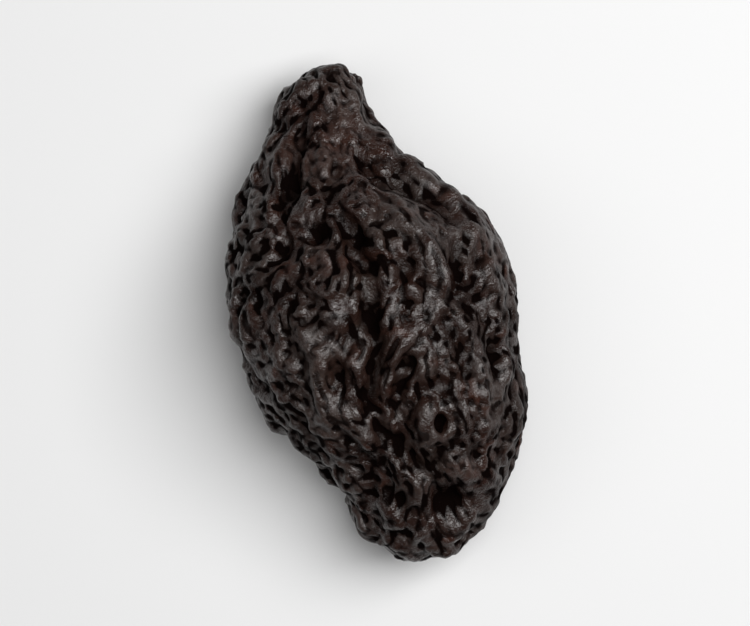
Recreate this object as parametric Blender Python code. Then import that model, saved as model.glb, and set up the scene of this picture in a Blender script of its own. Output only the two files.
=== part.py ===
"""A prune: one dried plum, lying on its flatter side with its stem neck towards +Y.

The fruit is a single solid. A ball of even squares is stretched over a row of sections, then
broad hollows, long furrows, raised folds and a net of skin creases are pressed into it, and the
underside is pressed flat where the fruit rests.

The origin is the middle of the footprint, on the surface that the prune lies on. Sizes in the
tables are in millimetres, and the finished mesh is in metres.
"""

import math

import bmesh
import bpy
import numpy as np

MM = 0.001

LENGTH = 40.6

# Squares of the ball's mesh along X, Y and Z: the fruit is longest in Y, so it has most there.
SQUARES = (26, 46, 21)

# Sections from the blossom end (station -1) to the stem end (+1):
# (station, spine x, half width, spine z, half thickness). A section is as wide and thick as the
# half sizes say times the round end's factor, which is 1 at the middle and 0 at both ends.
SECTIONS = (
    (-1.00, 0.6, 10.4, 6.2, 7.8),
    (-0.84, 0.7, 9.9, 6.3, 7.6),
    (-0.70, 1.2, 9.6, 6.5, 7.6),
    (-0.55, 1.2, 10.2, 6.8, 7.9),
    (-0.38, 0.3, 10.9, 7.2, 8.1),
    (-0.10, -0.1, 11.2, 7.6, 8.4),
    (0.12, -0.2, 11.5, 7.7, 8.6),
    (0.30, -0.4, 11.1, 7.4, 8.2),
    (0.45, -1.3, 9.9, 6.9, 7.4),
    (0.57, -1.7, 8.6, 6.3, 6.4),
    (0.68, -1.7, 7.4, 5.9, 5.6),
    (0.79, -1.5, 6.9, 5.6, 5.2),
    (0.90, -0.9, 7.9, 5.4, 5.8),
    (1.00, -0.2, 10.7, 5.3, 7.5),
)
SECTION_SQUARENESS = 2.15

UPPER = 1
LOWER = -1

# Places where the flesh has shrunk away from the stone's flat cheeks:
# (side, x, y, reach, depth)
HOLLOWS = (
    (UPPER, 5.5, -1.5, 5.0, 0.9),
    (UPPER, -5.5, 6.5, 3.6, 0.7),
    (UPPER, 2.8, -15.6, 1.7, 1.5),
    (UPPER, -4.0, -4.6, 1.3, 0.5),
    (UPPER, 3.3, -9.4, 0.8, 0.9),
    (UPPER, -4.8, 11.4, 0.9, 0.8),
    (UPPER, -3.0, 7.2, 0.9, 0.8),
    (UPPER, -7.3, 6.4, 0.9, 0.6),
    (LOWER, -5.5, -9.0, 4.0, 0.8),
    (LOWER, 5.0, 8.5, 4.5, 0.9),
    (LOWER, 4.0, -11.0, 3.5, 0.7),
)

# Long furrows, and folds where the depth is negative, as lines over one side of the body:
# (side, depth, half width, ((x, y), ...))
FURROWS = (
    # The crease under the neck, and the shoulder's fold outside it
    (UPPER, 1.0, 0.75, ((1.2, 12.8), (2.0, 10.7), (4.4, 9.7), (6.3, 8.2), (7.9, 6.4))),
    (UPPER, -0.5, 0.9, ((2.8, 13.8), (5.0, 10.9), (7.6, 7.8), (9.2, 4.8), (9.4, 1.2))),
    # The suture, which the two cheeks fold into
    (UPPER, 1.0, 0.8, ((-0.8, 7.4), (-0.4, 4.6), (-0.4, 2.2), (-0.9, -0.6))),
    (UPPER, 0.8, 0.7, ((-0.6, -2.4), (-1.5, -4.6), (-1.9, -7.2), (-1.3, -10.0))),
    (UPPER, 0.8, 0.6, ((1.4, -4.0), (0.2, -7.0), (-0.1, -10.6), (0.6, -13.0))),
    # Folds of the right cheek
    (UPPER, -0.6, 0.7, ((3.4, 7.0), (5.0, 4.8), (5.9, 2.0), (5.6, -0.8))),
    (UPPER, 0.7, 0.5, ((2.2, 4.3), (3.2, 2.6), (4.2, 1.0))),
    (UPPER, 0.8, 0.5, ((7.4, 4.2), (7.2, 2.6), (6.8, 0.7))),
    (UPPER, 0.6, 0.5, ((9.1, 3.1), (8.4, 1.6), (8.0, 0.2), (8.4, -2.6), (8.8, -5.6))),
    (UPPER, -0.6, 0.6, ((0.5, -4.2), (2.3, -2.6), (4.4, -0.6))),
    (UPPER, -0.5, 0.6, ((6.6, -1.6), (7.0, -5.2), (7.2, -9.0), (6.4, -12.6))),
    # The curl round the small pit
    (UPPER, -0.5, 0.5, ((1.7, -8.5), (2.7, -7.7), (4.0, -7.8), (4.8, -9.0), (4.6, -10.5),
                        (3.4, -11.1), (2.1, -10.6), (1.6, -9.5))),
    # The left cheek's smooth fold
    (UPPER, -0.7, 0.9, ((-5.2, -2.0), (-5.7, -4.6), (-5.0, -7.4), (-3.2, -9.8))),
    # Pleats of the neck
    (UPPER, 0.5, 0.5, ((-2.6, 17.4), (-3.4, 14.6), (-4.6, 12.6))),
    (UPPER, 0.4, 0.5, ((-0.4, 16.6), (-0.9, 13.6), (-1.4, 10.2))),
    (LOWER, 0.5, 0.5, ((-2.2, 17.8), (-2.8, 14.0), (-3.8, 10.6))),
    (LOWER, 0.5, 0.5, ((0.4, 17.4), (0.6, 14.0), (2.4, 10.0))),
    # The underside's furrows
    (LOWER, 0.9, 0.8, ((-7.6, 6.8), (-8.6, 2.6), (-8.4, -2.4), (-6.6, -7.4), (-3.2, -12.6))),
    (LOWER, 0.8, 0.7, ((4.6, 12.0), (7.4, 6.2), (8.6, 1.4), (8.0, -4.0))),
    (LOWER, 0.8, 0.7, ((6.4, -6.6), (4.6, -11.2), (3.4, -15.6))),
    (LOWER, -0.6, 0.9, ((-1.6, 12.0), (-4.4, 7.4), (-5.6, 4.0))),
    (LOWER, -0.6, 0.9, ((1.0, -13.0), (0.6, -16.6))),
)

# The creases' net: where a field of crossing waves passes zero, the skin has folded in.
CREASE_SEED = 7
WAVES = 40
# Between them it stands a little proud of the body.
PROUD = 0.25
# (wave length, how much longer it is along the fruit, depth, sharpness)
CREASES = (
    (4.6, 2.1, 0.60, 0.50),
    (3.3, 1.6, 0.45, 0.60),
)
# The stretched shoulder is smoother than the rest: (side, x, y, reach, share of depth taken off)
SMOOTHER = (
    (UPPER, 7.2, 6.0, 3.6, 0.75),
    (UPPER, -1.6, 17.6, 2.6, 0.5),
)
# Where the fruit rests, its creases are pressed out.
PRESSED_UP_TO = 1.6
PRESSED_SHARE = 0.75


def along(station, column):
    """A section's value at each station, on a smooth curve through the rows."""
    rows = np.array(SECTIONS)
    at, value = rows[:, 0], rows[:, column]
    slope = np.gradient(value, at)
    i = np.clip(np.searchsorted(at, station) - 1, 0, len(at) - 2)
    gap = at[i + 1] - at[i]
    t = (station - at[i]) / gap
    return (
        value[i] * (1 + 2 * t) * (1 - t) ** 2
        + value[i + 1] * t**2 * (3 - 2 * t)
        + slope[i] * gap * t * (1 - t) ** 2
        - slope[i + 1] * gap * t**2 * (1 - t)
    )


def ball_of_squares(counts):
    """A unit ball whose mesh is a cube's, cut into squares that are even as seen from its centre."""
    bm = bmesh.new()
    bmesh.ops.create_cube(bm, size=2.0)
    for axis, count in enumerate(counts):
        normal = [0.0, 0.0, 0.0]
        normal[axis] = 1.0
        for k in range(1, count):
            angle = (k / count - 0.5) * math.pi / 2
            point = [math.tan(angle) * n for n in normal]
            everything = bm.verts[:] + bm.edges[:] + bm.faces[:]
            bmesh.ops.bisect_plane(bm, geom=everything, dist=1e-6, plane_co=point, plane_no=normal)
    for vertex in bm.verts:
        vertex.co.normalize()
    return bm


def stretched_over_sections(ball):
    """The body's points, for the points of a unit ball."""
    station = ball[:, 1]
    round_end = np.sqrt(np.clip(1 - station**2, 1e-12, 1))
    across, up = ball[:, 0] / round_end, ball[:, 2] / round_end
    power = SECTION_SQUARENESS
    reach = round_end * (np.abs(across) ** power + np.abs(up) ** power + 1e-12) ** (-1 / power)
    return np.stack(
        (
            along(station, 1) + along(station, 2) * reach * across,
            station * LENGTH / 2,
            along(station, 3) + along(station, 4) * reach * up,
        ),
        axis=1,
    )


def set_points(bm, points):
    for vertex, point in zip(bm.verts, points):
        vertex.co = point
    bm.normal_update()


def normals_of(bm):
    return np.array([v.normal for v in bm.verts])


def on_body(body, side, x, y):
    """The body's point above or below a place in the plan."""
    away = np.hypot(body[:, 0] - x, body[:, 1] - y)
    middle = along(body[:, 1] / (LENGTH / 2), 3)
    away[(body[:, 2] - middle) * side < 0] = np.inf
    return body[np.argmin(away)]


def distance_to_path(points, path):
    """How far each point is from a path of straight runs."""
    nearest = np.full(len(points), np.inf)
    for start, end in zip(path[:-1], path[1:]):
        run = end - start
        t = np.clip((points - start) @ run / (run @ run), 0, 1)
        nearest = np.minimum(nearest, np.linalg.norm(points - start - t[:, None] * run, axis=1))
    return nearest


def bump(distance, reach):
    """A round bell: 1 at distance 0, under 0.02 past two reaches."""
    return np.exp(-((distance / reach) ** 2))


def placed_relief(body):
    """Height of the hollows, furrows and folds."""
    height = np.zeros(len(body))
    for side, x, y, reach, depth in HOLLOWS:
        away = np.linalg.norm(body - on_body(body, side, x, y), axis=1)
        height -= depth * bump(away, reach)
    for side, depth, half_width, plan in FURROWS:
        path = [on_body(body, side, x, y) for x, y in plan]
        height -= depth * bump(distance_to_path(body, path), half_width)
    return height


def crossing_waves(points, length, stretch, rng):
    """A field of waves that run in all directions, about 1 high."""
    direction = rng.normal(size=(WAVES, 3))
    direction /= np.linalg.norm(direction, axis=1)[:, None]
    direction[:, 1] /= stretch
    phase = rng.uniform(0, 2 * math.pi, WAVES)
    angle = points @ direction.T * (2 * math.pi / length) + phase
    return np.cos(angle).sum(axis=1) * math.sqrt(2 / WAVES)


def crease_net(body):
    """Height of the creases that cover the skin."""
    rng = np.random.default_rng(CREASE_SEED)
    height = np.full(len(body), PROUD)
    for length, stretch, depth, sharpness in CREASES:
        height -= depth * bump(crossing_waves(body, length, stretch, rng), sharpness)
    share = np.ones(len(body))
    for side, x, y, reach, off in SMOOTHER:
        away = np.linalg.norm(body - on_body(body, side, x, y), axis=1)
        share -= off * bump(away, reach)
    pressed = np.clip(1 - body[:, 2] / PRESSED_UP_TO, 0, 1)
    return height * share * (1 - PRESSED_SHARE * pressed)


def stood_on_origin(points):
    """The points with the underside pressed flat at height 0, over the middle of their footprint."""
    points[:, 2] = np.maximum(points[:, 2], 0.0)
    low, high = points.min(axis=0), points.max(axis=0)
    points[:, :2] -= (low[:2] + high[:2]) / 2
    return points


def skin_material():
    material = bpy.data.materials.new("prune_skin")
    material.use_nodes = True
    shader = material.node_tree.nodes["Principled BSDF"]
    shader.inputs["Base Color"].default_value = (0.018, 0.012, 0.010, 1)
    shader.inputs["Roughness"].default_value = 0.36
    shader.inputs["Metallic"].default_value = 0.0
    return material


def make_prune():
    bm = ball_of_squares(SQUARES)
    body = stretched_over_sections(np.array([v.co for v in bm.verts]))
    set_points(bm, body)
    height = placed_relief(body) + crease_net(body)
    points = stood_on_origin(body + normals_of(bm) * height[:, None])
    set_points(bm, points * MM)
    bmesh.ops.triangulate(bm, faces=bm.faces[:], quad_method="SHORT_EDGE")
    mesh = bpy.data.meshes.new("prune")
    bm.to_mesh(mesh)
    bm.free()
    mesh.shade_smooth()
    mesh.materials.append(skin_material())
    return bpy.data.objects.new("prune", mesh)


def main():
    for old in list(bpy.data.objects):
        bpy.data.objects.remove(old)
    collection = bpy.data.collections.new("Prune")
    bpy.context.scene.collection.children.link(collection)
    collection.objects.link(make_prune())


main()
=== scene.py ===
# %% [markdown]
# # A prune
#
# A prune is a plum that has lost two thirds of its water. The skin doesn't shrink with the flesh,
# so it has to go somewhere: it gathers into broad hollows, long furrows and, over all of it,
# close folds about a millimetre apart. This lesson takes the solid fruit, which already has the
# hollows and furrows, and grows the close folds over it.
#
# First the solid is loaded. It is the frame that everything here has to fit.

# %% Load the solid fruit
import math

import bmesh
import bpy
import numpy as np
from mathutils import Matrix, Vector
from mathutils.kdtree import KDTree


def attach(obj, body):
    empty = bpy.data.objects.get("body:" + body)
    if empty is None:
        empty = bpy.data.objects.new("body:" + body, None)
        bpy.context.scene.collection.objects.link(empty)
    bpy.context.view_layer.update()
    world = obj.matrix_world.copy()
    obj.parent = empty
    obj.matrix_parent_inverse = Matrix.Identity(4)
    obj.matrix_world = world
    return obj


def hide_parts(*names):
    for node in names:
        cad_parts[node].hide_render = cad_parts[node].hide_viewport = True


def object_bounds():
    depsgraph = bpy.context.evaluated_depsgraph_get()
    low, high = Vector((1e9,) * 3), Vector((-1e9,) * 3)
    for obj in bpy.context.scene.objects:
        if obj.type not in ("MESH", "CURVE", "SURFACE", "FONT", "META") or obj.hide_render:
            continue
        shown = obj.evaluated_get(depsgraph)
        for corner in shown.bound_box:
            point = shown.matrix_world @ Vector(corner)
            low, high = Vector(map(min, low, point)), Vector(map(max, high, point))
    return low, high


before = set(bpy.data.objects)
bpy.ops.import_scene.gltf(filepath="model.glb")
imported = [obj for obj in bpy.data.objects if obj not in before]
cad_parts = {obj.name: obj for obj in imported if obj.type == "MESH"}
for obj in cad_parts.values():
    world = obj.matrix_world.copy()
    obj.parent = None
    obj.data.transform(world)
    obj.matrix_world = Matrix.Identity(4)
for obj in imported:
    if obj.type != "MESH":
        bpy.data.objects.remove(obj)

MM = 0.001
cad_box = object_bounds()
low, high = (np.array(corner) / MM for corner in cad_box)
print("solid fruit, mm:", np.round(high - low, 1))

# %% [markdown]
# ## A finer skin
#
# The solid has one vertex about every 0.65 mm, which is too coarse for folds 1 mm apart. A
# subdivision surface would smooth it, but it also lays its points unevenly where the triangles
# meet in fives and sevens. Cutting each edge in two and then relaxing the points keeps them even.
# It is done twice, because the big folds are grown on the first mesh and the small on the second.

# %% Cut and smooth a copy of the solid
# Points of the solid closer than this, in metres, are one point
MERGE_WITHIN = 1e-6
FIRST_SMOOTHING, SECOND_SMOOTHING = 3, 1


def cut_finer(bm, rounds):
    """Cuts every edge in two, and smooths the points that many times."""
    bmesh.ops.subdivide_edges(bm, edges=bm.edges[:], cuts=1, use_grid_fill=True)
    for _ in range(rounds):
        bmesh.ops.smooth_vert(
            bm, verts=bm.verts[:], factor=0.5, use_axis_x=True, use_axis_y=True, use_axis_z=True
        )
    bmesh.ops.recalc_face_normals(bm, faces=bm.faces[:])
    bm.verts.index_update()
    bm.normal_update()


skin = bmesh.new()
skin.from_mesh(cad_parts["prune"].data)
bmesh.ops.remove_doubles(skin, verts=skin.verts[:], dist=MERGE_WITHIN)
cut_finer(skin, FIRST_SMOOTHING)
print(len(skin.verts), "points and", len(skin.faces), "faces")

# %% [markdown]
# ## Neighbours
#
# Folds grow by what each bit of skin does to the skin beside it. So every point needs a list of
# its neighbours, as a table with one row a point. Rows are as long as the most neighbours any
# point has, and a share of 0 marks the places that a point doesn't use.

# %% Make the table of neighbours
# A length that is as good as none
TINY = 1e-9


class Sheet:
    """The skin's points in mm as arrays, with the table of who is next to whom."""

    def __init__(self, bm):
        self.points = np.array([v.co for v in bm.verts]) / MM
        self.normals = np.array([v.normal for v in bm.verts])
        ends = np.array([(e.verts[0].index, e.verts[1].index) for e in bm.edges])
        pairs = np.concatenate((ends, ends[:, ::-1]))
        pairs = pairs[np.argsort(pairs[:, 0], kind="stable")]
        count = len(self.points)
        first = np.searchsorted(pairs[:, 0], np.arange(count))
        place = np.arange(len(pairs)) - first[pairs[:, 0]]
        self.table = np.repeat(np.arange(count)[:, None], place.max() + 1, axis=1)
        self.used = np.zeros(self.table.shape)
        self.table[pairs[:, 0], place] = pairs[:, 1]
        self.used[pairs[:, 0], place] = 1.0
        self.toward = self.points[self.table] - self.points[:, None]
        step = np.linalg.norm(self.toward, axis=2)
        self.toward /= np.maximum(step, TINY)[..., None]
        self.spacing = step[self.used > 0].mean()
        self.evenly = self.shared_out(self.used)

    def shared_out(self, weights):
        """Weights on the neighbours, made to add up to 1 for each point."""
        weights = weights * self.used
        return weights / weights.sum(axis=1, keepdims=True)

    def averaged(self, values, rounds, shares=None):
        """The values, each taken half way to its neighbours' average, a number of times."""
        shares = self.evenly if shares is None else shares
        if values.ndim == 2:
            shares = shares[..., None]
        for _ in range(rounds):
            values = 0.5 * values + 0.5 * (shares * values[self.table]).sum(axis=1)
        return values

    def rounds_for(self, reach):
        """How many rounds spread a value over a reach in mm."""
        return max(1, round((2 * reach / self.spacing) ** 2))

    def slope(self, values):
        """Which way the values rise over the skin, for each point."""
        change = (values[self.table] - values[:, None])[..., None] * self.toward
        rising = (self.evenly[..., None] * change).sum(axis=1)
        return rising - (rising * self.normals).sum(axis=1)[:, None] * self.normals

    def noise(self, reach, rng):
        """Soft patches of about that reach in mm, from a random start, with a spread of 1."""
        values = self.averaged(rng.normal(size=len(self.points)), self.rounds_for(reach))
        return (values - values.mean()) / values.std()


sheet = Sheet(skin)
print("points are", round(sheet.spacing, 3), "mm apart")

# %% [markdown]
# ## Which way the folds run
#
# Fine folds lie along the big ones: they fan out of the neck, run the length of the right cheek,
# wind round the small pit near the blossom end, and cross the left cheek in no order at all. The
# big ones are written down as strokes, each a line over the upper or lower side of the fruit with
# a reach and a lean. The lean says whether the stroke is a ridge (above 0) or a crease.

# %% Strokes that steer the folds
UPPER, LOWER = 1, -1
# The shoulder's long ridge, from the neck to the right edge
SHOULDER = ((3.5, 13.4), (5.8, 10.5), (9.2, 6.9), (10.8, 3.7))
# (side, lean, reach in mm, points of the line in mm)
STROKES = (
    # The crease under the neck, and the shoulder beside it
    (UPPER, -0.8, 0.5, ((1.2, 12.8), (2.0, 10.7), (4.4, 9.7), (6.3, 8.2), (7.9, 6.4))),
    (UPPER, 0.6, 0.8, SHOULDER),
    # The suture between the cheeks
    (UPPER, -1.0, 0.6, ((-0.7, 7.0), (-0.3, 4.4), (-0.3, 2.3), (-0.9, -0.6))),
    (UPPER, -0.8, 0.5, ((-0.6, -2.4), (-1.5, -4.6), (-1.8, -7.0), (-1.3, -10.0))),
    (UPPER, -0.8, 0.5, ((1.3, -4.3), (0.2, -7.2), (-0.2, -10.6), (0.6, -13.0))),
    # The right cheek: a curved ridge, slits beside it, and long ridges out to the edge
    (UPPER, 0.8, 0.5, ((3.4, 7.0), (4.2, 5.9), (5.4, 4.2), (5.9, 1.0), (5.6, -0.8))),
    (UPPER, -0.8, 0.4, ((2.2, 4.3), (3.2, 2.6), (4.2, 1.0))),
    (UPPER, -0.9, 0.4, ((7.4, 4.0), (7.2, 2.6), (6.7, 0.8))),
    (UPPER, -0.8, 0.4, ((9.1, 3.1), (8.4, 1.6), (7.9, 0.4), (8.4, -2.6), (8.8, -5.6))),
    (UPPER, 0.5, 0.5, ((8.2, 5.8), (8.2, 3.0), (7.6, 1.2))),
    (UPPER, 0.6, 0.5, ((9.8, 2.0), (9.5, -2.0), (9.7, -6.0))),
    (UPPER, 0.8, 0.35, ((0.5, -4.2), (2.3, -2.6), (4.4, -0.6))),
    (UPPER, 0.8, 0.35, ((0.9, -3.2), (2.3, -1.9), (3.9, -0.2))),
    (UPPER, -0.6, 0.35, ((0.6, -3.7), (2.3, -2.3), (4.1, -0.4))),
    (UPPER, 0.5, 0.5, ((6.6, -1.6), (7.0, -5.2), (7.2, -9.0), (6.4, -12.6))),
    # The slit that runs up from the small pit, and a fold on each side of it
    (UPPER, -0.9, 0.35, ((4.4, -4.4), (4.0, -6.4), (3.4, -8.4))),
    (UPPER, 0.5, 0.4, ((3.7, -4.4), (2.8, -5.6), (2.5, -7.4))),
    (UPPER, 0.5, 0.4, ((4.6, -4.2), (5.2, -5.6), (4.8, -7.6))),
    # The smooth fold of the left cheek, with the dark patch beside it
    (UPPER, 0.9, 0.7, ((-4.8, -2.7), (-5.2, -5.3), (-4.1, -7.9), (-2.8, -9.8))),
    (UPPER, -0.8, 0.5, ((-3.9, -3.2), (-4.0, -5.2), (-3.2, -7.2))),
    # The blossom end's fan
    (UPPER, 0.5, 0.6, ((1.6, -14.0), (0.6, -16.4), (0.2, -18.6))),
    (UPPER, 0.5, 0.6, ((3.6, -13.2), (4.6, -15.4), (4.2, -18.0))),
    (UPPER, 0.5, 0.6, ((-1.6, -11.6), (-2.2, -14.4), (-1.8, -17.0))),
    # Pleats of the neck
    (UPPER, 0.4, 0.6, ((-3.6, 18.0), (-4.4, 15.0), (-5.6, 12.0))),
    (UPPER, -0.4, 0.4, ((-2.6, 17.6), (-3.2, 15.2), (-3.2, 12.6))),
    # The underside's furrows
    (LOWER, -0.6, 0.8, ((-7.6, 6.8), (-8.6, 2.6), (-8.4, -2.4), (-6.6, -7.4), (-3.2, -12.6))),
    (LOWER, -0.6, 0.8, ((4.6, 12.0), (7.4, 6.2), (8.6, 1.4), (8.0, -4.0))),
    (LOWER, -0.6, 0.8, ((6.4, -6.6), (4.6, -11.2), (3.4, -15.6))),
)
# How far a stroke steers the folds beside it, in reaches of its own
STEER_REACH = 2.5
# Half way up the fruit, in mm
middle = (low + high)[2] / 2


def on_skin(points, side, x, y):
    """The skin's point above or below a place in the plan."""
    away = np.hypot(points[:, 0] - x, points[:, 1] - y)
    away[(points[:, 2] - middle) * side < 0] = np.inf
    return points[np.argmin(away)]


def beside_line(points, line):
    """How far each point is from a line over the skin, and the line's direction there."""
    nearest = np.full(len(points), np.inf)
    direction = np.zeros_like(points)
    for start, end in zip(line[:-1], line[1:]):
        run = end - start
        along = np.clip((points - start) @ run / (run @ run), 0, 1)
        away = np.linalg.norm(points - start - along[:, None] * run, axis=1)
        closer = away < nearest
        nearest[closer] = away[closer]
        direction[closer] = run / np.linalg.norm(run)
    return nearest, direction


def outer(vectors):
    """Each vector times itself: a tensor that pulls along it, whichever way it points."""
    return vectors[:, :, None] * vectors[:, None, :]


def read_strokes(points):
    """How the strokes steer each point, as a tensor, and how they lean."""
    steer = np.zeros((len(points), 3, 3))
    lean = np.zeros(len(points))
    for side, push, reach, plan in STROKES:
        line = [on_skin(points, side, x, y) for x, y in plan]
        away, direction = beside_line(points, line)
        steer += np.exp(-((away / (reach * STEER_REACH)) ** 2))[:, None, None] * outer(direction)
        lean += push * np.exp(-((away / reach) ** 2))
    return steer, lean


steer, lean = read_strokes(sheet.points)
print("strokes:", len(STROKES), " lean from", lean.min().round(2), "to", lean.max().round(2))

# %% [markdown]
# A few pits are too round to be strokes. The clearest is near the blossom end, with a raised lip
# all round it. They are bells pressed into the skin, a little longer than wide, and a soft noise
# makes their edges wobble. Some spots are glossier and painted lighter than the rest, as painted
# highlights, so they are listed too.

# %% Pits, and spots of polish and painted highlight
# (side, x, y, radius, depth, height of the lip round it) of small dark pits, in mm
PITS = (
    (UPPER, 3.2, -9.5, 0.7, 0.55, 0.30),
    (UPPER, 2.8, -15.5, 1.1, 0.24, 0.08),
    (UPPER, -4.8, 11.6, 0.7, 0.15, 0.0),
    (UPPER, -3.0, 7.2, 0.8, 0.20, 0.0),
    (UPPER, -7.2, 6.6, 0.6, 0.20, 0.0),
    (UPPER, -4.0, -4.5, 0.7, 0.25, 0.0),
)
# How much longer than wide a pit is, and how much its outline wobbles over what reach
PIT_LENGTH, PIT_WOBBLE, WOBBLE_REACH = 1.25, 0.22, 0.7
PIT_SEED = 3
# The lip's middle and half width, in radii of its pit
LIP_AT, LIP_WIDTH = 1.8, 0.5
# (side, x, y, reach) of polished spots with a painted highlight, lighter than the rest, in mm
POLISHED_HIGHLIGHT_SPOTS = (
    (UPPER, 4.3, -13.6, 1.1),
    (UPPER, 2.9, -2.2, 1.1),
    (UPPER, 8.4, 5.5, 1.6),
    (UPPER, -5.3, 7.7, 1.0),
    (UPPER, -5.5, -3.7, 1.5),
    (UPPER, 2.3, 15.4, 1.0),
    (UPPER, 3.2, -9.5, 1.6),
)


def read_pits(sheet):
    """How deep each point lies in a pit, and the height of a pit's lip there, in mm."""
    points = sheet.points
    pits, lips = np.zeros((2, len(points)))
    wobble = 1 + PIT_WOBBLE * sheet.noise(WOBBLE_REACH, np.random.default_rng(PIT_SEED))
    for side, x, y, radius, depth, lip in PITS:
        offset = (points - on_skin(points, side, x, y)) / [1.0, PIT_LENGTH, 1.0]
        away = np.linalg.norm(offset, axis=1) / radius * wobble
        pits = np.maximum(pits, depth * np.exp(-(away**2)))
        lips = np.maximum(lips, lip * np.exp(-(((away - LIP_AT) / LIP_WIDTH) ** 2)))
    return pits, lips


def read_polish_and_highlight(points):
    """How much polish and painted highlight each point gets from the listed spots, from 0 to 1."""
    polish_and_highlight = np.zeros(len(points))
    for side, x, y, reach in POLISHED_HIGHLIGHT_SPOTS:
        away = np.linalg.norm(points - on_skin(points, side, x, y), axis=1)
        polish_and_highlight = np.maximum(polish_and_highlight, np.exp(-((away / reach) ** 2)))
    return polish_and_highlight


pits, _ = read_pits(sheet)
print("the deepest pit is", pits.max().round(2), "mm deep")

# %% [markdown]
# Away from the strokes the folds run lengthwise, but they wander, and most of all on the left
# cheek. So the direction is the fruit's length turned by a soft noise, and a mask made from the
# coordinates says how much it turns and how firmly it steers.

# %% Lengthwise folds away from the strokes
LENGTHWISE = np.array([0.0, 1.0, 0.0])
# Folds lie in better order from the first of these to the second, in mm across or along
CHEEK_ORDER, BLOSSOM_ORDER, NECK_ORDER = (-1.0, 6.0), (8.0, 14.0), (8.0, 15.0)
NECK_SHARE = 0.25
# How far the folds turn at random, in radians, and over what reach in mm
WANDER, WANDER_REACH = 0.6, 2.0
# How much of that is left where the order is none. One less is left where it is full
LOOSENESS = 1.4
# How firmly the length steers where the order is none, and how much is added where it is full
FIRMNESS, ADDED_FIRMNESS = 0.4, 0.35


def ramp(values, start, end):
    """0 below start, 1 above end, and smooth between them."""
    t = np.clip((values - start) / (end - start), 0, 1)
    return t * t * (3 - 2 * t)


def lengthwise_steer(sheet, rng):
    """A tensor for each point that pulls the folds along the fruit, with a random turn."""
    x, y, _ = sheet.points.T
    neck = NECK_SHARE * ramp(y, *NECK_ORDER)
    order = np.maximum(np.maximum(ramp(x, *CHEEK_ORDER), neck), ramp(-y, *BLOSSOM_ORDER))
    turn = WANDER * (LOOSENESS - order) * sheet.noise(WANDER_REACH, rng)
    around = np.cross(sheet.normals, LENGTHWISE)
    direction = LENGTHWISE * np.cos(turn)[:, None] + around * np.sin(turn)[:, None]
    return (FIRMNESS + ADDED_FIRMNESS * order)[:, None, None] * outer(direction)


# %% [markdown]
# ## Growing the folds
#
# Noise in a displacement texture gives lumps, not folds. Real folds come from skin that is pushed
# together: a point that rises pulls its close neighbours up with it and presses those further off
# down. That rule, run again and again from a random start, draws the winding ridges of equal width
# that a prune has. Here "close" is an average over the nearest points and "further off" an average
# over more of them, and the difference between the two decides which way each point goes.

# %% The rule of growth
# How sharply a point decides to rise or to sink
GAIN = 7.0
# How close by and how far off a fold acts, as shares of the distance between folds
CLOSE_SHARE, FAR_SHARE = 0.14, 0.30
# A neighbour's weight: the least, what it has where nothing steers, and what it has along the fold
LEAST_PULL, EVEN_PULL, ALONG_PULL = 0.05, 0.2, 5.0


def steered_shares(sheet, steer):
    """Weights on the neighbours that are heavier along the way the folds should run."""
    strength = np.trace(steer, axis1=1, axis2=2)
    steer = steer / np.maximum(strength, 1.0)[:, None, None]
    order = np.minimum(strength, 1.0)[:, None]
    pull = np.einsum("nki,nij,nkj->nk", sheet.toward, steer, sheet.toward)
    return sheet.shared_out(LEAST_PULL + (1 - order) * EVEN_PULL + ALONG_PULL * pull**2)


def grow(sheet, shares, widths, blend, bias, steps, start):
    """Ridges (towards 1) and creases (towards -1).

    They stand the first width in mm apart where blend is 0, and the second where it is 1.
    """
    close_rounds = [sheet.rounds_for(width * CLOSE_SHARE) for width in widths]
    far_rounds = [sheet.rounds_for(width * FAR_SHARE) for width in widths]
    fold = start
    for _ in range(steps):
        narrow = sheet.averaged(fold, close_rounds[0], shares)
        wide = sheet.averaged(narrow, close_rounds[1] - close_rounds[0], shares)
        narrow_far = sheet.averaged(narrow, far_rounds[0])
        wide_far = sheet.averaged(narrow_far, far_rounds[1] - far_rounds[0])
        excess = (1 - blend) * (narrow - narrow_far) + blend * (wide - wide_far)
        fold = np.tanh(GAIN * excess + bias)
    return sheet.averaged(fold, 1, shares)


# %% [markdown]
# ## The big folds
#
# These stand about 2.5 mm apart. The solid has creases of that size already, so the growth starts
# with a lean towards them: where the solid bulges a ridge is more likely.

# %% Grow the big folds
SEED = 11
# How far apart they stand in mm, where they are closest and widest, and the rounds they grow
BIG_WIDTHS, BIG_STEPS = (1.9, 3.3), 24
# The reach in mm of the patches of closer and wider folds
BIG_PATCHES = 3.0
BULGE_ROUNDS = 60
# What the solid's bulges, the strokes and the pits count for in the growth
BULGE_PUSH, LEAN_PUSH, PIT_PUSH = 0.55, 0.9, 1.6
# The spread of the random start
BIG_START = 0.4

rng = np.random.default_rng(SEED)
bulge = sheet.points - sheet.averaged(sheet.points, BULGE_ROUNDS)
bulge = (bulge * sheet.normals).sum(axis=1)
bulge /= bulge.std()
steer += lengthwise_steer(sheet, rng)
big = grow(
    sheet,
    steered_shares(sheet, steer),
    BIG_WIDTHS,
    ramp(sheet.noise(BIG_PATCHES, rng), -1.2, 1.2),
    BULGE_PUSH * np.clip(bulge, -2, 2) + LEAN_PUSH * lean - PIT_PUSH * pits,
    BIG_STEPS,
    rng.normal(0, BIG_START, len(sheet.points)),
)
print("big ridges cover", round(float((big > 0).mean()), 2), "of the skin")

# %% [markdown]
# They aren't equally deep all over. The neck's top, the shoulder and the right cheek are stretched
# smooth, and the skin that the fruit lies on is pressed flat. Each of these is a mask from 0 to 1.

# %% Raise the big folds
NECK_TOP, NECK_REACH = (-1.8, 15.0), 5.0
SHOULDER_REACH = 2.6
# The right cheek begins at the first of these and is full at the second, in mm across
RIGHT_CHEEK = (2.0, 7.0)
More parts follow.
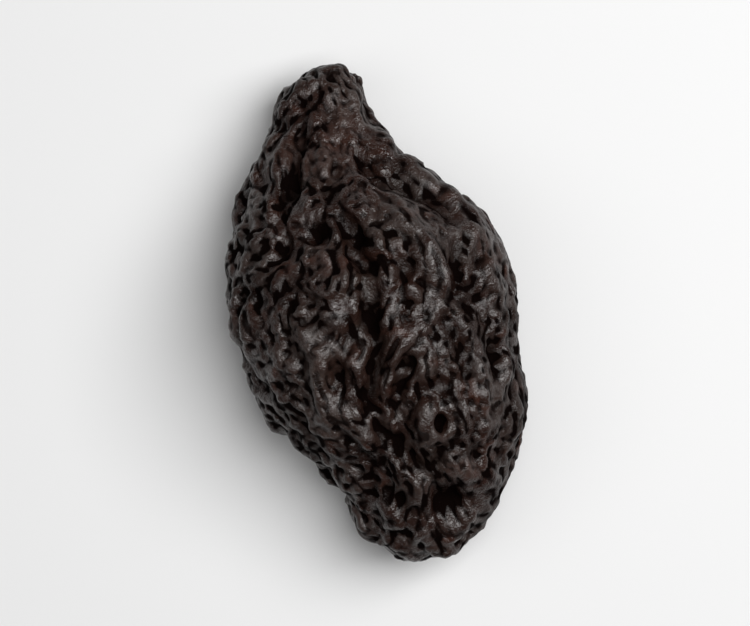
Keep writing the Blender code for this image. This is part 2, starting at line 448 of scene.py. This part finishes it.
# The share of the depth that is taken away at the neck, the shoulder and the right cheek
NECK_CALM, SHOULDER_CALM, CHEEK_CALM = 0.85, 0.85, 0.60
# The folds' depth in mm, how much of it stands out of the solid, and how sharp a crease is
BIG_DEPTH, BIG_LEVEL, BIG_CREASE_POWER = 0.22, 0.4, 1.3
STROKE_HEIGHT = 0.30
# The heights in mm between which the pressed skin gets free, and the share that pressing takes
PRESSED, PRESSED_CALM = (0.1, 2.0), 0.85
# The skin is sunk where it is lower than the average of what lies within this reach, in mm
LEVEL_REACH = 1.6

x, y, z = sheet.points.T
upper_side = ramp(z, middle - 2.0, middle + 1.0)
neck_top = ((x - NECK_TOP[0]) / NECK_REACH) ** 2 + ((y - NECK_TOP[1]) / NECK_REACH) ** 2
neck_top = np.exp(-neck_top) * upper_side
ridge = [on_skin(sheet.points, UPPER, *place) for place in SHOULDER]
shoulder = np.exp(-((beside_line(sheet.points, ridge)[0] / SHOULDER_REACH) ** 2)) * upper_side
right_cheek = ramp(x, *RIGHT_CHEEK) * upper_side
smoother = NECK_CALM * neck_top + SHOULDER_CALM * shoulder + CHEEK_CALM * right_cheek
depth = BIG_DEPTH * np.clip(1 - smoother, 0, 1)
crease = ((1 - big) / 2) ** BIG_CREASE_POWER
rise = depth * (BIG_LEVEL - crease) + STROKE_HEIGHT * lean
rise = sheet.averaged(rise, 2) * (1 - PRESSED_CALM * (1 - ramp(z, *PRESSED)))
folded = sheet.points + sheet.normals * rise[:, None]
level = sheet.averaged(folded, sheet.rounds_for(LEVEL_REACH))
sunk = ((level - folded) * sheet.normals).sum(axis=1)
sunk -= np.median(sunk)
print("the skin is sunk by", np.percentile(sunk, [5, 50, 95]).round(2), "mm")

# %% [markdown]
# ## The small folds
#
# They stand about 1 mm apart, on a mesh that is cut once more. What is known of each point so far
# goes along as layers of the mesh, and the cutting fills them in at the new points.

# %% Cut the skin again
carried = {"big": big, "sunk": sunk, "neck_top": neck_top, "shoulder": shoulder}
layers = {name: skin.verts.layers.float.new(name) for name in carried}
for number, vertex in enumerate(skin.verts):
    vertex.co = folded[number] * MM
    for name, layer in layers.items():
        vertex[layer] = carried[name][number]
cut_finer(skin, SECOND_SMOOTHING)
sheet = Sheet(skin)
big, sunk, neck_top, shoulder = (
    np.array([vertex[layer] for vertex in skin.verts]) for layer in layers.values()
)
print(len(skin.verts), "points,", round(sheet.spacing, 3), "mm apart")

# %% [markdown]
# The small folds lie along the sides of the big ones, so the slope of the big pattern steers them
# too. The steering comes and goes from patch to patch, which breaks their order up.

# %% Grow the small folds
# How far apart they stand in mm, where they are closest and widest, and the rounds they grow
SMALL_WIDTHS, SMALL_STEPS = (0.75, 1.35), 20
# How firmly the big folds' sides steer, and the percentile of slope at which they do so fully
SIDE_PULL, FULL_SLOPE = 0.4, 80
# The reach in mm of the patches of order, and of those of closer and wider folds
ORDER_PATCHES, SMALL_PATCHES = 1.2, 1.5
# How much wider the folds stand on the neck's top and on the shoulder
NECK_WIDER, SHOULDER_WIDER = 0.8, 0.5
# The growth's lean towards ridges: everywhere, what a stroke adds and what a pit's lip adds
SMALL_LEAN, SMALL_LEAN_PUSH, LIP_PUSH = -0.08, 0.3, 2.0
SMALL_START = 0.5


def unit(vectors):
    """The vectors, each made one long."""
    return vectors / np.maximum(np.linalg.norm(vectors, axis=1), TINY)[:, None]


steer, lean = read_strokes(sheet.points)
pits, lips = read_pits(sheet)
steer += lengthwise_steer(sheet, rng)
sides = np.cross(sheet.normals, sheet.slope(sheet.averaged(big, 6)))
steepness = np.linalg.norm(sides, axis=1)
pull = SIDE_PULL * np.clip(steepness / np.percentile(steepness, FULL_SLOPE), 0, 1)
steer += pull[:, None, None] * outer(unit(sides))
steer *= np.clip(0.6 + 0.45 * sheet.noise(ORDER_PATCHES, rng), 0.0, 1.3)[:, None, None]
wider = ramp(sheet.noise(SMALL_PATCHES, rng), -1.2, 1.5)
wider = wider + NECK_WIDER * neck_top + SHOULDER_WIDER * shoulder
small = grow(
    sheet,
    steered_shares(sheet, steer),
    SMALL_WIDTHS,
    np.clip(wider, 0, 1),
    SMALL_LEAN + SMALL_LEAN_PUSH * np.clip(lean, -0.7, 0.8) + LIP_PUSH * lips,
    SMALL_STEPS,
    rng.normal(0, SMALL_START, len(sheet.points)),
)
print("small ridges cover", round(float((small > 0).mean()), 2), "of the skin")

# %% [markdown]
# ## Short lengths
#
# No fold runs far. Where it meets another it kinks and goes on a little higher or lower, and
# tilted another way, so the light picks out one short length and leaves the next one dark. The
# lengths are cells: each point belongs to the nearest of many random middles, where a step along
# the fold counts for less than one across it. That makes the cells long the way the fold runs.
# Each gets a height, a tilt and a sheen of its own, and the border between two is the kink. A
# second set of smaller cells cuts the lengths into facets, which makes the grains angular.

# %% Break the folds into short lengths
# How many middles near a point may be its own
NEAREST = 8


class Cells:
    """How many cells cover the skin, and what each is like (sizes in mm).

    stretch is how much longer than wide they are, and passing how far one blends into the next.
    step is the spread of their heights, and tilt that of their slopes.
    """

    def __init__(self, count, stretch, passing, step, tilt):
        self.count = count
        self.stretch = stretch
        self.passing = passing
        self.step = step
        self.tilt = tilt


def cut_into_cells(sheet, cells, along, rng):
    """For each point: its cell's height and sheen, and how much nearer it is than the next."""
    middles = rng.choice(len(sheet.points), cells.count, replace=False)
    tree = KDTree(cells.count)
    for number, place in enumerate(sheet.points[middles]):
        tree.insert(place, number)
    tree.balance()
    near = np.array([[found[1] for found in tree.find_n(p, NEAREST)] for p in sheet.points])
    offset = sheet.points[:, None] - sheet.points[middles][near]
    direction = along[middles][near]
    run = (offset * direction).sum(axis=2, keepdims=True)
    offset -= (1 - 1 / cells.stretch) * run * direction
    away = np.linalg.norm(offset, axis=2)
    share = np.exp(-(away**2 - away.min(axis=1, keepdims=True) ** 2) / cells.passing**2)
    share /= share.sum(axis=1, keepdims=True)
    level = rng.normal(0, cells.step, cells.count)[near]
    level += (rng.normal(0, cells.tilt, (cells.count, 3))[near] * offset).sum(axis=2)
    sheen = rng.uniform(0, 1, cells.count)[near]
    first, second = np.sort(away, axis=1)[:, :2].T
    return (share * level).sum(axis=1), (share * sheen).sum(axis=1), second - first


LENGTHS = Cells(count=1900, stretch=3.2, passing=0.18, step=0.07, tilt=0.24)
FACETS = Cells(count=4500, stretch=1.6, passing=0.15, step=0.012, tilt=0.19)
along = unit(np.cross(sheet.normals, sheet.slope(sheet.averaged(small, 4))))
lengths, sheen, margin = cut_into_cells(sheet, LENGTHS, along, rng)
facets = cut_into_cells(sheet, FACETS, along, rng)[0]
print("lengths stand from", lengths.min().round(2), "to", lengths.max().round(2), "mm")

# %% [markdown]
# On a real fold the top is broad and round and the crease is narrow and sharp, because the skin
# bulges against its neighbour. So the pattern is bent: high values are flattened, low ones are
# deepened. How deep the folds are changes from patch to patch, and they are calmer where the big
# ones are, and at the edge. Cells alone would look like beads, so the relief is smoothed along
# the folds and not across them, which draws the beads out into grains.
#
# Last, points on a fold's side slide a little towards the crease, which makes the crease tighter
# and gives it more points, where they are needed.

# %% Raise the small folds
# The folds' depth in mm, how much of it stands out, and how narrow a crease is
SMALL_DEPTH, SMALL_LEVEL, CREASE_POWER = 0.09, 0.3, 3.0
# The depth and the half width of the kinks, the height of the lumps and their reach, in mm
KINK_DEPTH, KINK_WIDTH, LUMP_HEIGHT, LUMP_REACH = 0.08, 0.20, 0.02, 1.2
# All the fine relief is brought to this share of its height
FINE_HEIGHT = 0.8
# Rounds of smoothing along the folds
FIBRE_ROUNDS = 2
# How far points slide towards the crease
SLIDE = 0.07
# A place is low where it is lower than the average of what lies within this reach, in mm
NEAR_REACH = 0.5
# The share of the fine relief that is taken away at the neck and the shoulder, at the edges that
# turn away from above, on the right cheek, and where the skin is pressed
CALM_TOP, CALM_EDGE, CALM_CHEEK, CALM_PRESSED = 0.7, 0.4, 0.35, 0.8
# The heights in mm between which the pressed skin's fine relief gets free
FINE_PRESSED = (0.1, 1.4)
# The share of the kinks' depth that the right cheek lacks
CHEEK_UNKINKED = 0.7

x, _, z = sheet.points.T
right_cheek = ramp(x, *RIGHT_CHEEK) * ramp(z, middle - 4.0, middle)
edge_on = ramp(1 - np.abs(sheet.averaged(sheet.normals, 20)[:, 2]), 0.5, 0.9)
patches = sheet.noise(LUMP_REACH, rng)
calm = 1 - CALM_TOP * np.maximum(neck_top, shoulder)
calm *= 1 - CALM_PRESSED * (1 - ramp(z, *FINE_PRESSED))
calm *= (1 - CALM_EDGE * edge_on) * (1 - CALM_CHEEK * right_cheek)
# A pit's lip is smoother than the rest: creases and kinks are down to half on its top
unbroken = 1 - np.clip(lips / 0.3, 0, 0.5)
depth = SMALL_DEPTH * np.clip(1 + 0.4 * patches, 0.3, 1.8)
crease = ((1 - small) / 2) ** CREASE_POWER
kink = np.exp(-((margin / KINK_WIDTH) ** 2)) * (KINK_DEPTH * (1 - CHEEK_UNKINKED * right_cheek))
rise = depth * (SMALL_LEVEL - crease * unbroken) + (lengths - kink) * unbroken
rise += LUMP_HEIGHT * patches
fibres = steered_shares(sheet, outer(along))
rise = sheet.averaged(FINE_HEIGHT * calm * rise + facets, FIBRE_ROUNDS, fibres)
rise += lips - pits
low_by = sheet.averaged(rise, sheet.rounds_for(NEAR_REACH)) - rise
wrinkled = sheet.points + sheet.normals * rise[:, None] - sheet.slope(small) * SLIDE
wrinkled[:, 2] = np.maximum(wrinkled[:, 2], 0.0)
print("low places by", np.percentile(low_by, [5, 25, 50, 75, 95]).round(3), "mm")

# %% [markdown]
# The finish depends on the folds, so the mesh keeps four numbers at each point: how low it is
# among its nearest neighbours, how far the skin is sunk there, how polished it is, and how near
# it is to the neck's top. The edge of the right cheek turns away from the light, so painted shade
# darkens it.

# %% Make the prune
# What the ridges, the shoulder and the listed spots add to the polish, as painted highlight, and
# what the edge takes off, as painted shade
RIDGE_POLISH_AND_HIGHLIGHT, SHOULDER_POLISH_AND_HIGHLIGHT, SPOT_POLISH_AND_HIGHLIGHT, EDGE_SHADE = 0.3, 0.2, 0.6, 0.8
# How much the polish changes from patch to patch
PATCH_POLISH = 0.2

for vertex, place in zip(skin.verts, wrinkled * MM):
    vertex.co = place
mesh = bpy.data.meshes.new("prune_skin")
skin.to_mesh(mesh)
skin.free()
mesh.shade_smooth()


def store(name, values):
    """Keeps one number for each point, for the material to read."""
    mesh.attributes.new(name, "FLOAT", "POINT").data.foreach_set("value", values.astype(np.float32))


# Painted highlight, partly real polish: ridges, shoulder and listed spots get glossier and lighter
polish_and_highlight = RIDGE_POLISH_AND_HIGHLIGHT * np.clip(lean, 0, 1) + SHOULDER_POLISH_AND_HIGHLIGHT * shoulder
polish_and_highlight += SPOT_POLISH_AND_HIGHLIGHT * read_polish_and_highlight(sheet.points)
store("low", low_by)
store("sunk", sunk)
# The sheen also carries painted shade: the right cheek's edge is made dull and near-black
store("sheen", sheen + PATCH_POLISH * patches + polish_and_highlight - EDGE_SHADE * edge_on * right_cheek)
store("neck", neck_top)
prune = bpy.data.objects.new("prune_skin", mesh)
bpy.context.scene.collection.objects.link(prune)
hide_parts("prune")
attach(prune, "root")
print(len(mesh.polygons), "faces")

# %% [markdown]
# ## Colour and gloss
#
# Shader sums are easier to read as Python than as a web of nodes. This class wraps a socket, so
# that adding or multiplying two of them puts the Math node in.

# %% A small language for shader sums


class Value:
    """The output socket of a node, which Python's + - and * work on."""

    def __init__(self, nodes, socket):
        self.nodes = nodes
        self.socket = socket

    def math(self, operation, *others):
        inputs = [self, *others]
        return self.nodes.node("ShaderNodeMath", {"operation": operation}, dict(enumerate(inputs)))

    def __add__(self, other):
        return self.math("ADD", other)

    def __mul__(self, other):
        return self.math("MULTIPLY", other)

    def __sub__(self, other):
        return self.math("SUBTRACT", other)

    def __rsub__(self, other):
        return self.nodes.node("ShaderNodeMath", {"operation": "SUBTRACT"}, {0: other, 1: self})

    __radd__ = __add__
    __rmul__ = __mul__

    def ramp(self, start, end):
        """0 below start, 1 above end, and smooth between them."""
        settings = {"interpolation_type": "SMOOTHSTEP"}
        inputs = {"Value": self, "From Min": start, "From Max": end}
        return self.nodes.node("ShaderNodeMapRange", settings, inputs)


class Nodes:
    """The node tree of one material."""

    def __init__(self, name):
        self.material = bpy.data.materials.new(name)
        self.material.use_nodes = True
        self.tree = self.material.node_tree
        self.shader = self.tree.nodes["Principled BSDF"]

    def node(self, kind, settings=None, inputs=None, output=0):
        """Any node: its type, its settings, and the values or links of its sockets."""
        made = self.tree.nodes.new(kind)
        for name, value in (settings or {}).items():
            setattr(made, name, value)
        for name, value in (inputs or {}).items():
            self.feed(made.inputs[name], value)
        return Value(self, made.outputs[output])

    def feed(self, socket, value):
        if isinstance(value, Value):
            self.tree.links.new(value.socket, socket)
        else:
            socket.default_value = value

    def attribute(self, name):
        return self.node("ShaderNodeAttribute", {"attribute_name": name}, output="Fac")

    def noise(self, scale, detail=2.0, roughness=0.5, distortion=0.0):
        place = self.node("ShaderNodeTexCoord", output="Object")
        inputs = {"Vector": place, "Scale": scale, "Detail": detail, "Roughness": roughness,
                  "Distortion": distortion}
        return self.node("ShaderNodeTexNoise", inputs=inputs)

    def mix(self, factor, first, second):
        inputs = {0: factor, 6: first, 7: second}
        return self.node("ShaderNodeMix", {"data_type": "RGBA"}, inputs, output=2)


# %% [markdown]
# The skin is nearly black: plum skin browned by drying. What lightness it has comes from gloss.
# The skin is two finishes, mixed by the creases: a glossy one, and a near-black dull one which is
# painted shade in the creases and hollows and a little dust all over. The polish on the ridges, the
# shoulder and some spots takes the dull one off, partly as painted highlight. A little of the old
# red shows where the skin is thin, at the neck and in patches.

# %% The skin's colour
BROWN = (0.0155, 0.0062, 0.0042, 1)
GREY_BROWN = (0.026, 0.0155, 0.0120, 1)
RED_BROWN = (0.040, 0.0140, 0.0085, 1)
# Noise scales are counts to a metre, so these clouds and red patches are 3 or 4 mm wide
CLOUD_SCALE, RED_SCALE = 260.0, 330.0
# How much of a cloud, of a red patch and of the neck's red shows
CLOUD_SHARE, RED_SHARE, NECK_RED = 0.8, 0.7, 0.4
# The roughness of the polished skin, and what a cloud adds to it
ROUGHNESS, CLOUD_ROUGHNESS = 0.23, 0.14

nodes = Nodes("prune_skin")
cloudy = nodes.noise(CLOUD_SCALE, 3.0, 0.6).ramp(0.38, 0.66)
reddish = nodes.noise(RED_SCALE, 2.0, 0.5, 0.6).ramp(0.55, 0.75)
colour = nodes.mix(cloudy * CLOUD_SHARE, BROWN, GREY_BROWN)
colour = nodes.mix(reddish * RED_SHARE, colour, RED_BROWN)
colour = nodes.mix(nodes.attribute("neck") * NECK_RED, colour, RED_BROWN)
nodes.feed(nodes.shader.inputs["Base Color"], colour)
nodes.feed(nodes.shader.inputs["Roughness"], ROUGHNESS + CLOUD_ROUGHNESS * cloudy)
nodes.shader.inputs["IOR"].default_value = 1.5
print("colour and roughness take", len(nodes.tree.nodes), "nodes")

# %% [markdown]
# The finest creasing is smaller than the mesh can hold, so it is a bump. Folding a noise at its
# middle gives it sharp lines: as valleys in the crumple, and as thin ridges in the creasing.

# %% The skin's finest relief
CRUMPLE_SCALE, CREASING_SCALE, GRAIN_SCALE = 1500.0, 2900.0, 7000.0
# Heights of the bump's three layers in mm, each for a whole unit of its noise
CRUMPLE_HEIGHT, CREASING_HEIGHT, GRAIN_HEIGHT = 0.18, 0.11, 0.007

crumple = (nodes.noise(CRUMPLE_SCALE, 3.0, 0.6, 0.5) - 0.5).math("ABSOLUTE")
creasing = (nodes.noise(CREASING_SCALE, 2.0, 0.5, 0.8) - 0.5).math("ABSOLUTE")
grain = nodes.noise(GRAIN_SCALE, 2.0, 0.5)
bump_height = crumple * CRUMPLE_HEIGHT - creasing * CREASING_HEIGHT + grain * GRAIN_HEIGHT
bump = nodes.node("ShaderNodeBump", inputs={"Distance": MM, "Height": bump_height})
nodes.feed(nodes.shader.inputs["Normal"], bump)
print("bump layers, mm:", CRUMPLE_HEIGHT, CREASING_HEIGHT, GRAIN_HEIGHT)

# %% [markdown]
# The second finish is nearly black, rough, and with almost no gloss. In the low places and in the
# hollows it is painted shade, a little of it lies all over as dust, and the sheen takes it off.
# Both finishes share the bump, so the creasing runs on from one into the other.

# %% Painted shade in the creases and hollows, and dust
# Near-black: painted shade in the creases and hollows, and a little dust all over
DUST_AND_SHADE = (0.0018, 0.0006, 0.0004, 1)
# Where the painted shade begins and where it is full: for a low place and for sunk skin, in mm
CREASE_SHADE_RANGE, HOLLOW_SHADE_RANGE = (-0.03, 0.07), (0.0, 0.7)
# Painted shade in a low place, what sunk skin adds, the dust all over, and what the sheen takes
CREASE_SHADE, HOLLOW_SHADE, ALL_OVER, SHEEN_CLEARS = 0.95, 0.5, 0.35, 0.55

# Painted shade: the low places and the sunk skin are mixed towards the near-black finish
crease_shade = nodes.attribute("low").ramp(*CREASE_SHADE_RANGE)
hollows = nodes.attribute("sunk").ramp(*HOLLOW_SHADE_RANGE)
# The sheen lightens: painted highlight where polish raised it, painted shade where the edge lowered
# it
dust_and_sheen = ALL_OVER - nodes.attribute("sheen") * SHEEN_CLEARS
dust_and_shade_amount = crease_shade * CREASE_SHADE + hollows * HOLLOW_SHADE + dust_and_sheen
dust_and_shade = nodes.node(
    "ShaderNodeBsdfPrincipled",
    inputs={"Base Color": DUST_AND_SHADE, "Roughness": 0.85, "Specular IOR Level": 0.02, "Normal": bump},
)
dust_and_shade_mix = dust_and_shade_amount.math("MAXIMUM", 0.0).math("MINIMUM", 1.0)
polished = Value(nodes, nodes.shader.outputs[0])
both = nodes.node("ShaderNodeMixShader", inputs={0: dust_and_shade_mix, 1: polished, 2: dust_and_shade})
nodes.feed(nodes.tree.nodes["Material Output"].inputs["Surface"], both)
mesh.materials.append(nodes.material)
print("the whole skin takes", len(nodes.tree.nodes), "nodes")

# %% [markdown]
# ## Floor, light and camera
#
# The prune lies on a white sheet between two broad soft lights, the right one far the stronger,
# and is seen from straight above. The camera is rolled so that the neck points to the upper left.

# %% Floor
WHITE_PAPER = (0.68, 0.68, 0.68, 1)
# The floor lies this far below the fruit, so that the two don't share a plane
FLOOR_DROP = 0.05 * MM

floor_bm = bmesh.new()
bmesh.ops.create_grid(floor_bm, x_segments=1, y_segments=1, size=1.0)
bmesh.ops.translate(floor_bm, verts=floor_bm.verts[:], vec=(0, 0, -FLOOR_DROP))
floor_mesh = bpy.data.meshes.new("floor")
floor_bm.to_mesh(floor_mesh)
floor_bm.free()
floor = bpy.data.objects.new("floor", floor_mesh)
bpy.context.scene.collection.objects.link(floor)
paper = Nodes("floor_paper")
paper.shader.inputs["Base Color"].default_value = WHITE_PAPER
paper.shader.inputs["Roughness"].default_value = 0.7
floor_mesh.materials.append(paper.material)
print("floor side, m:", floor.dimensions.x)

# %% Lights
# Width and length of a bank, and its place, in metres
BANK_SIZE = (0.16, 0.30)
BANK_ASIDE, BANK_ALONG, BANK_HEIGHT = 0.13, 0.02, 0.28
LEFT_WATTS, RIGHT_WATTS, ROOM_LIGHT = 0.21, 1.30, 0.08
centre = Vector((0, 0, float(high[2]) / 2 * MM))


def soft_bank(name, aside, watts):
    """A soft light that faces the fruit."""
    light = bpy.data.lights.new(name, "AREA")
    light.shape = "RECTANGLE"
    light.size, light.size_y = BANK_SIZE
    light.energy = watts
    lamp = bpy.data.objects.new(name, light)
    bpy.context.scene.collection.objects.link(lamp)
    lamp.location = (aside, BANK_ALONG, BANK_HEIGHT)
    lamp.rotation_euler = (centre - lamp.location).to_track_quat("-Z", "Y").to_euler()


soft_bank("left_bank", -BANK_ASIDE, LEFT_WATTS)
soft_bank("right_bank", BANK_ASIDE, RIGHT_WATTS)
world = bpy.data.worlds.new("studio")
world.use_nodes = True
world.node_tree.nodes["Background"].inputs["Color"].default_value = (1, 1, 1, 1)
world.node_tree.nodes["Background"].inputs["Strength"].default_value = ROOM_LIGHT
bpy.context.scene.world = world
bpy.context.scene.view_settings.view_transform = "Standard"
print("watts:", LEFT_WATTS, "left and", RIGHT_WATTS, "right")

# %% Camera
ROLL = math.radians(-11.5)
# How much the picture shows from top to bottom, and how far off the camera is, in metres
VIEW_HEIGHT = 0.050
DISTANCE = 0.45

camera_data = bpy.data.cameras.new("camera")
camera_data.sensor_fit = "VERTICAL"
camera_data.sensor_height = 24.0
camera_data.lens = camera_data.sensor_height * DISTANCE / VIEW_HEIGHT
camera_data.clip_start = 0.01
camera = bpy.data.objects.new("camera", camera_data)
bpy.context.scene.collection.objects.link(camera)
camera.location = centre + Vector((0, 0, DISTANCE))
camera.rotation_euler = (0, 0, ROLL)
bpy.context.scene.camera = camera
print("lens, mm:", round(camera_data.lens))
